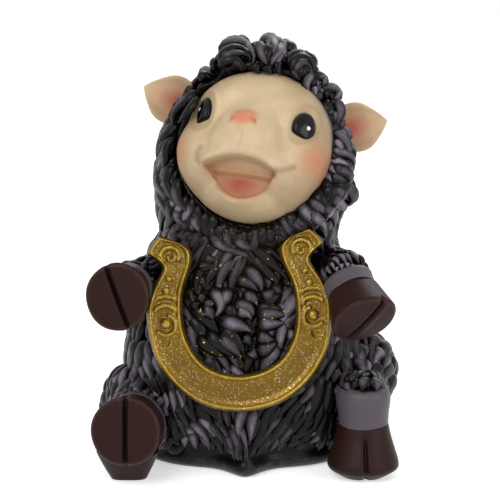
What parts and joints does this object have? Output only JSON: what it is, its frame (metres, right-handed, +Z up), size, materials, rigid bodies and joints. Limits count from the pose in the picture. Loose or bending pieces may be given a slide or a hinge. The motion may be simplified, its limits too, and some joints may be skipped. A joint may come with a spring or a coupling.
{
  "type": "sheep figurine",
  "caption": "Painted resin ornament of a sitting black lamb with a smiling cream face, holding a gold horseshoe on its chest.",
  "frame": {"origin": "centre of the felt under the figurine, on the surface it stands on", "axes": "+Z up, -Y the way the lamb faces, +X the lamb's left, which is the right of someone who looks at its face"},
  "size_m": [0.0867, 0.081, 0.1193],
  "materials": {
    "wool": "satin, dry-brushed grey over near black",
    "face": "matte cream paint with pink blush",
    "eye": "gloss black paint with a white dot",
    "hoof": "satin brown paint",
    "gold": "gold metallic paint with fine glitter on resin",
    "felt": "short-pile felt",
    "plug": "bare cast resin"
  },
  "bodies": {
    "root": {"torso": "wool", "head": "wool", "right_foreleg": "wool", "left_foreleg": "wool", "right_hind_leg": "wool", "left_hind_leg": "wool", "face": "face", "right_ear": "face", "left_ear": "face", "right_eye": "eye", "left_eye": "eye", "right_fore_hoof": "hoof", "left_fore_hoof": "hoof", "right_hind_hoof": "hoof", "left_hind_hoof": "hoof", "horseshoe": "gold", "base_felt": "felt", "base_plug": "plug"}
  },
  "joints": []
}
